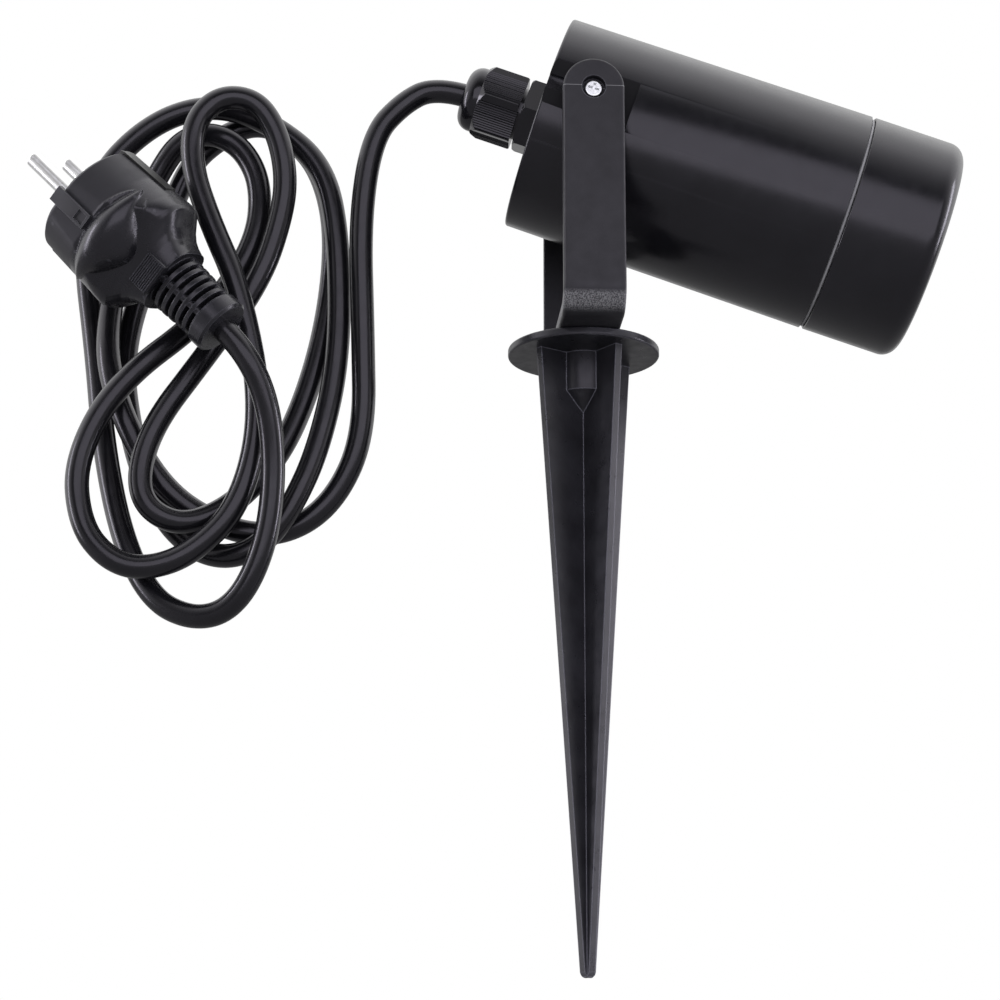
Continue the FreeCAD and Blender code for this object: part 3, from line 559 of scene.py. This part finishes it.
WIRE_GREEN = moulded("wire green", (0.12, 0.36, 0.06), (0.16, 0.45, 0.08), (0.35, 0.45),
                     scale=2000, depth=0.00002)
# Earth contacts: metal, painted nearly black as shade in their recess.
CONTACT_IN_PAINTED_SHADE = metal("contact in painted shade", (0.05, 0.05, 0.05), (0.3, 0.45))
STEEL = metal("zinc plated steel", (0.72, 0.73, 0.74), (0.16, 0.3))
PIN = metal("nickel plated pin", (0.93, 0.93, 0.92), (0.3, 0.36), grain=0.01)
BRASS = metal("brass", (0.72, 0.55, 0.24), (0.2, 0.35))
MIRROR = metal("lamp reflector", (0.86, 0.86, 0.85), (0.05, 0.15))
GLASS = clear_glass("front glass", (0.94, 0.97, 0.96))

LOOKS = {
    "ground_spike": SPIKE, "pan_insert": BRASS, "pan_screw": STEEL, "pan_washer": STEEL,
    "yoke": ARM, "tilt_washers": ARM, "tilt_screws": STEEL, "tilt_inserts": BRASS,
    "lamp_housing": HEAD, "ring_seal": SEAL, "front_ring": HEAD, "glass_gasket": SEAL,
    "front_glass": GLASS, "glass_spacer": HEAD, "bulb_reflector": MIRROR, "bulb_face": GLASS,
    "bulb_pins": PIN, "lamp_holder": CERAMIC, "holder_bracket": STEEL, "bracket_screws": STEEL,
    "terminal_block": CERAMIC, "wire_live": WIRE_BROWN, "wire_neutral": WIRE_BLUE,
    "wire_earth": WIRE_GREEN, "gland_body": GLAND, "gland_nut": GLAND, "gland_grommet": SEAL,
    "gland_locknut": GLAND, "cord_inner": CORD, "cord_stub": CORD, "cord_lead": CORD,
    "cord_loops": CORD, "plug_strain_relief": PLUG, "plug_body": PLUG, "plug_bridge": BRIDGE,
    "plug_pins": PIN, "plug_earth_clips": CONTACT_IN_PAINTED_SHADE,
}

# Bands on the yoke, in metres: lower and upper end, width of the soft rim, whether mottled. The
# bend band is a painted highlight; the other is a lighter mould line.
BEND_HIGHLIGHT_BAND = (0.0030, 0.0086, 0.0014, True)
MOULD_LINE = (0.07125, 0.07145, 0.00004, False)
HIGHLIGHT_AND_LINE_COLOUR = (0.24, 0.24, 0.25)
BAND_SCALE = 3000


def matt_front(made):
    """Rougher moulding at the plug's front than on its thumb bulges."""
    tree = made.node_tree
    rough = tree.nodes["Principled BSDF"].inputs["Roughness"]
    along = tree.nodes.new("ShaderNodeVectorMath")
    along.operation = "DOT_PRODUCT"
    along.inputs[1].default_value = PLUG_AXIS
    tree.links.new(own_place(tree), along.inputs[0])
    start = PLUG_AXIS.dot(PLUG_END) + (PLUG_LEN - MATT_FROM) * MM
    extra = spread(tree, along.outputs["Value"], 0, 0.26, start, start + MATT_OVER)
    tree.links.new(calculate(tree, "ADD", rough.links[0].from_socket, extra), rough)


def height_bands(made, bands, light):
    """Lighter, mottled colour where the piece lies between two heights; on the yoke's bend this is
    a painted highlight.
    """
    tree = made.node_tree
    base = tree.nodes["Principled BSDF"].inputs["Base Color"]
    split = tree.nodes.new("ShaderNodeSeparateXYZ")
    tree.links.new(own_place(tree), split.inputs["Vector"])
    mottle = spread(tree, noise(tree, BAND_SCALE, 3), 0.1, 1, 0.42, 0.58)
    tone = base.links[0].from_socket
    for low, high, rim, uneven in bands:
        below = spread(tree, split.outputs["Z"], 0, 1, low, low + rim)
        above = spread(tree, split.outputs["Z"], 1, 0, high - rim, high)
        share = calculate(tree, "MULTIPLY", below, above)
        if uneven:
            share = calculate(tree, "MULTIPLY", share, mottle)
        tone = mix_colours(tree, share, tone, light)
    tree.links.new(tone, base)


def dress_nodes():
    """Gives each of the part's own nodes its material."""
    matt_front(PLUG)
    # Painted highlight across the yoke's bend, and a lighter mould line.
    height_bands(ARM, (BEND_HIGHLIGHT_BAND, MOULD_LINE), HIGHLIGHT_AND_LINE_COLOUR)
    for name, node in nodes.items():
        node.data.materials.clear()
        node.data.materials.append(LOOKS[name])
        smooth(node.data, 30)


# ---------------------------------------------------------------- head
def make_housing():
    place = head_place()
    rear_edge = arc(REAR_X + REAR_EDGE_R, REAR_R - REAR_EDGE_R, REAR_EDGE_R, 180, 90, 6)
    profile = [(REAR_X, AXIS_HOLE_R)] + rear_edge
    profile += [(SEAM_X, SEAM_R), (SEAM_X, SPIGOT_R), (SEAM_X + SPIGOT_LEN, SPIGOT_R),
                (SEAM_X + SPIGOT_LEN, SPIGOT_BORE_R), (SEAM_X, SPIGOT_BORE_R),
                (REAR_X + REAR_WALL, REAR_R - WALL), (REAR_X + REAR_WALL, AXIS_HOLE_R)]
    piece = lathe("housing", profile, place)
    start = REAR_X - 2
    cutters = []
    for side in (-1, 1):
        near, far = sorted((side * FACET_HALF, side * CUT_BEYOND))
        cutters.append(box_piece("flat", (start, near, -CUT_BEYOND),
                                 (FACET_X, far, CUT_BEYOND), place))
        near, far = sorted((side * (FACET_HALF - SLOT_DEPTH), side * CUT_BEYOND))
        cutters.append(box_piece("slot", (start, near, -SLOT_WIDTH / 2),
                                 (REAR_X + SLOT_LEN, far, SLOT_WIDTH / 2), place))
    cut_away(piece, cutters)
    soften(piece, HOUSING_EDGE * MM, 24)
    finish_piece(piece, "head", HEAD, ["lamp_housing"])
    piece.data.materials.append(FACET)
    for face in piece.data.polygons:
        on_facet = abs(abs(face.center.y) - FACET_HALF * MM) < 0.00005
        if on_facet and abs(face.normal.y) > 0.999:
            face.material_index = 1


def make_ring():
    lip_x = FRONT_X - LIP_THICK
    profile = [(RING_X, RING_BORE_R), (RING_X, SEAM_R - RING_EDGE), (RING_X + RING_EDGE, SEAM_R)]
    profile += arc(FRONT_X - FRONT_ROUND, SEAM_R - FRONT_ROUND, FRONT_ROUND, 90, 0, 16)
    profile += [(FRONT_X, LIP_OPEN_R + LIP_EDGE), (FRONT_X - LIP_EDGE, LIP_OPEN_R),
                (lip_x, LIP_OPEN_R), (lip_x, RING_BORE_R)]
    piece = lathe("ring", profile, head_place())
    finish_piece(piece, "head", HEAD, ["front_ring"])


def make_seal():
    rear, front = SEAM_X + SEAL_PLAY, RING_X - SEAL_PLAY
    profile = [(rear, SPIGOT_R), (rear, SEAL_SHOULDER_R), (SEAM_X + SEAL_EDGE, SEAL_R),
               (RING_X - SEAL_EDGE, SEAL_R), (front, SEAL_SHOULDER_R), (front, SPIGOT_R)]
    piece = lathe("seal", profile, head_place())
    finish_piece(piece, "head", SEAL, ["ring_seal"])


# ---------------------------------------------------------------- gland
def hex_radius(angle, depth):
    """Distance to a hexagon's side, with fine grooves of this depth along each flat."""
    local = (angle - math.radians(GLAND_TURN)) % (math.pi / 3) - math.pi / 6
    along = GLAND_APOTHEM * math.tan(local)
    groove = 0.0
    if depth and GROOVE_LOW < along < GROOVE_HIGH:
        wave = 0.5 - 0.5 * math.cos(2 * math.pi * (along - GROOVE_LOW) / GROOVE_PITCH)
        groove = depth * wave ** GROOVE_POWER
    return (GLAND_APOTHEM - groove) / math.cos(local)


def hex_rings(stations, limit, depth, steps):
    """Rings of a turned hexagonal piece; limit gives the greatest radius at a station."""
    rings = []
    for x in stations:
        ring = []
        for k in range(steps):
            angle = 2 * math.pi * k / steps
            r = min(hex_radius(angle, depth), limit(x))
            ring.append((x, r * math.cos(angle), r * math.sin(angle)))
        rings.append(ring)
    return rings


def nut_limit(x):
    """Chamfer before the hexagon, and the slope down to the dome behind it."""
    front = GLAND_CORNER - NUT_FRONT_CHAMFER + (NUT_X - x) * NUT_FRONT_SLOPE
    rear = DOME_R + NUT_BROW + (x - NUT_HEX_END) * NUT_REAR_SLOPE
    return min(GLAND_CORNER, front, rear)


def make_nut():
    stations = [NUT_X, NUT_X - 0.15, NUT_X - 0.35, NUT_X - 0.6, NUT_X - 1.2]
    stations += [NUT_X - 1.2 - 1.2 * k for k in range(1, 6)]
    stations += [NUT_HEX_END + 0.14 * k for k in range(16, -1, -1)]
    rings = hex_rings(stations, nut_limit, GROOVE_DEPTH, NUT_STEPS)
    dome = [(NUT_HEX_END + 0.01, DOME_R)]
    dome += arc(NUT_END + DOME_ROUND, DOME_R - DOME_ROUND, DOME_ROUND, 90, 180, 14)
    dome += [(NUT_END + depth, r) for depth, r in DOME_MOUTH]
    rings += [circle(x, r, NUT_STEPS) for x, r in dome]
    piece = skin("nut", rings, gland_place(), 28)
    finish_piece(piece, "head", GLAND, ["gland_nut"])


def gland_limit(x):
    """Chamfers at both ends of the fixed hexagon."""
    low = GLAND_CORNER - GLAND_CHAMFER
    return min(GLAND_CORNER, low + (REAR_X - x), low + (x - GLAND_HEX_X))


def make_gland_body():
    stations = [REAR_X - back for back in (0.02, 0.25, 0.5, 0.75, 1.2)]
    stations += [GLAND_HEX_X + ahead for ahead in (1.2, 0.75, 0.5, 0.25, 0)]
    rings = hex_rings(stations, gland_limit, 0, GLAND_STEPS)
    for x in (GLAND_HEX_X + 0.01, GLAND_HEX_X - STUB_LEN):
        rings.append(circle(x, STUB_R, GLAND_STEPS))
    piece = skin("gland", rings, gland_place(), 28)
    finish_piece(piece, "head", GLAND, ["gland_body"])


# ---------------------------------------------------------------- plug
def grid_skin(name, stations, radius, place, steps=360):
    """Closed skin from radius(x, angle); angle 0 faces -Y of the plug's frame."""
    angles = np.arange(steps) * 2 * math.pi / steps
    rings = []
    for x in stations:
        r = radius(x, angles)
        rings.append(list(zip([x] * steps, -r * np.cos(angles), -r * np.sin(angles))))
    return skin(name, rings, place, 30)


def rounded_max(a, b, edge):
    """The greater of two surfaces with a rounded crease."""
    return 0.5 * (a + b + np.sqrt((a - b) ** 2 + edge * edge))


def plug_trunk(behind, angle):
    """Radius of the moulding without its bulges: a drum that becomes a rounded box."""
    width = np.interp(behind, *zip(*WING_PROFILE))
    side = np.interp(behind, *zip(*SIDE_PROFILE))
    across = np.abs(np.cos(angle)) + 1e-6
    along = np.abs(np.sin(angle)) + 1e-6
    drum = -rounded_max(np.full_like(angle, -width), -side / across, DRUM_CREASE)
    box = ((across / side) ** BOX_POWER + (along / width) ** BOX_POWER) ** (-1 / BOX_POWER)
    share = min(max((behind - BOX_FROM) / BOX_OVER, 0), 1)
    return drum * (1 - share) + box * share


def plug_radius(x, angle):
    """Radius of the moulding with its two thumb bulges, lenses with a lip."""
    trunk = plug_trunk(PLUG_LEN - x, angle)
    turn = (angle + math.pi / 2) % math.pi - math.pi / 2
    lens = np.clip(1 - (turn / math.radians(EYE_HALF_ANGLE)) ** 2, 0, 1)
    middle = PLUG_LEN - EYE_AT + EYE_LEAN * (1 - lens)
    ahead = x > middle
    reach = np.where(ahead, EYE_FRONT[0] * lens ** EYE_FRONT[1],
                     EYE_BACK[0] * lens ** EYE_BACK[1]) + EYE_LEAST_REACH
    u = np.abs(x - middle) / reach
    crown = EYE_TOP - EYE_SAG * (1 - lens)
    eye = crown - np.where(ahead, EYE_FRONT[2], EYE_BACK[2]) * u ** EYE_POWER
    fade = np.clip(lens * EYE_LIP_FADE[0] - EYE_LIP_FADE[1], 0, 1)
    ridge = EYE_LIP_HEIGHT * np.exp(-((u - 1) / EYE_LIP_WIDTH) ** 2) * fade
    lip = np.where(turn > EYE_LIP_FROM, ridge, 0)
    eye = np.where((u < EYE_RIM) & (lens > 0), eye, 0) + lip
    eye = np.maximum(eye, np.where(lip > EYE_LIP_LEAST, trunk + lip, 0))
    return rounded_max(trunk, eye, EYE_CREASE)


def relief_radius(x, angle):
    """Rings with windows between four ribs along the strain relief, and the collar."""
    if x < COLLAR_LEN:
        edge = max(0.0, COLLAR_EDGE - x) * COLLAR_SLOPE
        return np.full_like(angle, COLLAR_R - edge)
    length = PLUG_NECK - COLLAR_LEN
    place = ((x - COLLAR_LEN) / (length / RELIEF_RINGS)) % 1
    outer = RELIEF_R + RELIEF_GROWTH * (x - COLLAR_LEN) / length
    beyond = abs(place - 0.5) - RELIEF_WINDOW_HALF
    ring = 1 / (1 + math.exp(-beyond * RELIEF_RING_EDGE))
    quarter = math.pi / 2
    turn = (angle - math.radians(RELIEF_RIB_TURN) + quarter / 2) % quarter - quarter / 2
    beside = math.radians(RELIEF_RIB_HALF) - np.abs(turn)
    rib = 1 / (1 + np.exp(-beside * RELIEF_RIB_EDGE))
    full = np.maximum(rib * RELIEF_RIB_RISE, ring)
    return RELIEF_CORE_R + (outer - RELIEF_CORE_R) * full


def plug_block(name, ends, side, foot, top, half):
    """Block on one side of the plug, between two distances behind its front face."""
    low = (PLUG_LEN - ends[0], side * foot, -half)
    high = (PLUG_LEN - ends[1], side * top, half)
    return box_piece(name, low, high, plug_place())


def make_pad(side, name):
    """Small grip: a raised pad, a dark sheet on it between the ribs as painted shade, and its
    ribs.
    """
    pad = plug_block("grip_pad_" + name, PAD_ENDS, side, PAD_FOOT, PAD_TOP, PAD_HALF)
    soften(pad, PAD_EDGE * MM)
    finish_piece(pad, "yoke", PLUG)
    ribs = []
    for k in range(PAD_RIBS):
        rear = PAD_RIB_FROM - PAD_RIB_PITCH * k
        ribs.append(plug_block("pad_rib", (rear, rear - PAD_RIB_WIDTH), side, PAD_FLOOR_FOOT,
                               PAD_RIB_TOP, PAD_RIB_HALF))
    # Painted shade: a thin, dark, dull sheet on the pad between the ribs.
    floor = plug_block("pad_painted_shade_" + name, PAD_FLOOR_ENDS, side, PAD_FLOOR_FOOT, PAD_FLOOR_TOP,
                       PAD_FLOOR_HALF)
    finish_piece(floor, "yoke", FACET)
    ribs = join("pad_ribs_" + name, ribs)
    finish_piece(ribs, "yoke", PLUG)
    return [pad, floor, ribs]


def make_earth_strips():
    # Metal contacts, painted dark as the shade in their recess.
    strips = []
    for side in (-1, 1):
        rings = []
        for before, low, high, half in EARTH_STRIP:
            x = PLUG_LEN + before
            rings.append([(x, half, side * low), (x, half, side * high),
                          (x, -half, side * high), (x, -half, side * low)])
        strips.append(skin("strip", rings, plug_place()))
    strips = join("earth_strips", strips)
    return finish_piece(strips, "yoke", CONTACT_IN_PAINTED_SHADE, ["plug_earth_clips"])


def make_plug():
    place = plug_place()
    stations = [PLUG_NECK - 0.5 + 0.3 * k for k in range(120)]
    stations = [x for x in stations if x < PLUG_LEN - 1]
    stations += [PLUG_LEN - back for back in (1, 0.8, 0.5, 0.25, 0)]
    body = grid_skin("plug_moulding", stations, plug_radius, place)
    pieces = [finish_piece(body, "yoke", PLUG, ["plug_body"])]
    stations = [0, 0.4, 0.8, 2, COLLAR_LEN - 0.01]
    count = int((PLUG_NECK - COLLAR_LEN) / RELIEF_STEP) + 8
    stations += [COLLAR_LEN + RELIEF_STEP * k for k in range(1, count)]
    relief = grid_skin("strain_relief", stations, relief_radius, place, 288)
    pieces.append(finish_piece(relief, "yoke", PLUG, ["plug_strain_relief"]))
    for side, name in ((-1, "near"), (1, "far")):
        pieces += make_pad(side, name)
    pieces.append(make_earth_strips())
    return pieces


# ---------------------------------------------------------------- cord
def curve_mesh(line):
    graph = bpy.context.evaluated_depsgraph_get()
    return bpy.data.meshes.new_from_object(line.evaluated_get(graph))


def make_cord():
    """The whole cord as one tube, and the points of its centre line."""
    before_plug = PLUG_END - PLUG_AXIS * PLUG_STRAIGHT
    route = [Vector(CORD_EXIT)] + [Vector(p) for p in CORD_POINTS] + [before_plug, PLUG_END]
    curve = bpy.data.curves.new("cord line", "CURVE")
    curve.dimensions = "3D"
    spline = curve.splines.new("NURBS")
    spline.points.add(len(route) - 1)
    for point, place in zip(spline.points, route):
        point.co = (*place, 1)
    spline.order_u = 3
    spline.use_endpoint_u = True
    curve.resolution_u = 12
    line = add_object("cord_line", curve)
    path = [v.co.copy() for v in curve_mesh(line).vertices]
    curve.bevel_depth = CORD_R * MM
    curve.bevel_resolution = 8
    curve.use_fill_caps = True
    mesh = curve_mesh(line)
    bpy.data.objects.remove(line)
    cord = add_object("cord", mesh)
    smooth(mesh, 60)
    mesh.materials.clear()
    mesh.materials.append(CORD)
    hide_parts("cord_stub", "cord_lead", "cord_loops")
    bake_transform(cord)
    return cord, path


# ---------------------------------------------------------------- studio
def make_camera():
    azimuth = math.radians(CAMERA_AZIMUTH)
    elevation = math.radians(CAMERA_ELEVATION)
    level = math.cos(elevation)
    ahead = Vector((-math.sin(azimuth) * level, math.cos(azimuth) * level, -math.sin(elevation)))
    right = Vector((math.cos(azimuth), math.sin(azimuth), 0))
    up = right.cross(ahead)
    turn = Matrix((right, up, -ahead)).transposed().to_4x4()
    roll = Matrix.Rotation(math.radians(CAMERA_ROLL), 4, "Z")
    data = bpy.data.cameras.new("camera")
    data.lens = CAMERA_LENS
    data.sensor_width = SENSOR_WIDTH
    data.clip_end = CLIP_END
    camera = add_object("camera", data)
    camera.matrix_world = Matrix.Translation(CAMERA_TARGET - ahead * CAMERA_DISTANCE) @ turn @ roll
    bpy.context.scene.camera = camera


def make_light(name, place, aim, size, power):
    data = bpy.data.lights.new(name, "AREA")
    data.shape = "RECTANGLE"
    data.size = size[0]
    data.size_y = size[1]
    data.energy = power
    data.color = LIGHT_COLOUR
    light = add_object(name, data)
    light.location = place
    light.rotation_euler = (Vector(aim) - Vector(place)).to_track_quat("-Z", "Y").to_euler()


def make_floor():
    """Light to the camera, darker to the part, which stands free in the photograph."""
    half = FLOOR_HALF
    corners = [(-half, -half, FLOOR_Z), (half, -half, FLOOR_Z),
               (half, half, FLOOR_Z), (-half, half, FLOOR_Z)]
    mesh = bpy.data.meshes.new("floor")
    mesh.from_pydata(corners, [], [(0, 1, 2, 3)])
    floor = add_object("floor", mesh)
    made, tree, shader = new_material("floor")
    tone = mottled(tree, 3, (0.78, 0.78, 0.78), (0.82, 0.82, 0.82))
    ray = tree.nodes.new("ShaderNodeLightPath")
    shade = mix_colours(tree, ray.outputs["Is Camera Ray"], (0.2, 0.2, 0.2), tone)
    tree.links.new(shade, shader.inputs["Base Color"])
    shader.inputs["Roughness"].default_value = 0.7
    mesh.materials.append(made)


def make_world():
    """White to the camera; to the part bright beside it, a third as bright straight behind it
    and dark on the camera's side."""
    world = bpy.data.worlds.new("studio")
    bpy.context.scene.world = world
    world.use_nodes = True
    tree = world.node_tree
    background = tree.nodes["Background"]
    background.inputs["Color"].default_value = (1, 1, 1, 1)
    place = tree.nodes.new("ShaderNodeTexCoord")
    split = tree.nodes.new("ShaderNodeSeparateXYZ")
    tree.links.new(place.outputs["Generated"], split.inputs["Vector"])
    rise = spread(tree, split.outputs["Y"], 0.1, 1.65, -0.75, -0.15)
    fall = spread(tree, split.outputs["Y"], 1.0, 0.34, 0.4, 0.95)
    behind = calculate(tree, "MULTIPLY", rise, fall)
    ray = tree.nodes.new("ShaderNodeLightPath")
    seen = calculate(tree, "MAXIMUM", ray.outputs["Is Camera Ray"],
                     ray.outputs["Is Transmission Ray"])
    tree.links.new(calculate(tree, "MAXIMUM", seen, behind), background.inputs["Strength"])


def make_lights():
    make_light("front softbox", (0.1, -1.18, 0.17), (0, 0, 0.05), (1.6, 0.88), 6.6)
    make_light("left strip", (-1.3, -0.1, 0.0), (-0.02, 0, 0.0), (0.22, 1.4), 7)
    make_light("right strip", (1.3, -0.1, 0.0), (-0.02, 0, 0.0), (0.22, 1.4), 10)


def main():
    bpy.context.scene.view_settings.view_transform = "Standard"
    dress_nodes()
    make_housing()
    make_ring()
    make_seal()
    make_nut()
    make_gland_body()
    plug_pieces = make_plug()
    cord, path = make_cord()
    make_camera()
    make_floor()
    make_world()
    make_lights()


main()
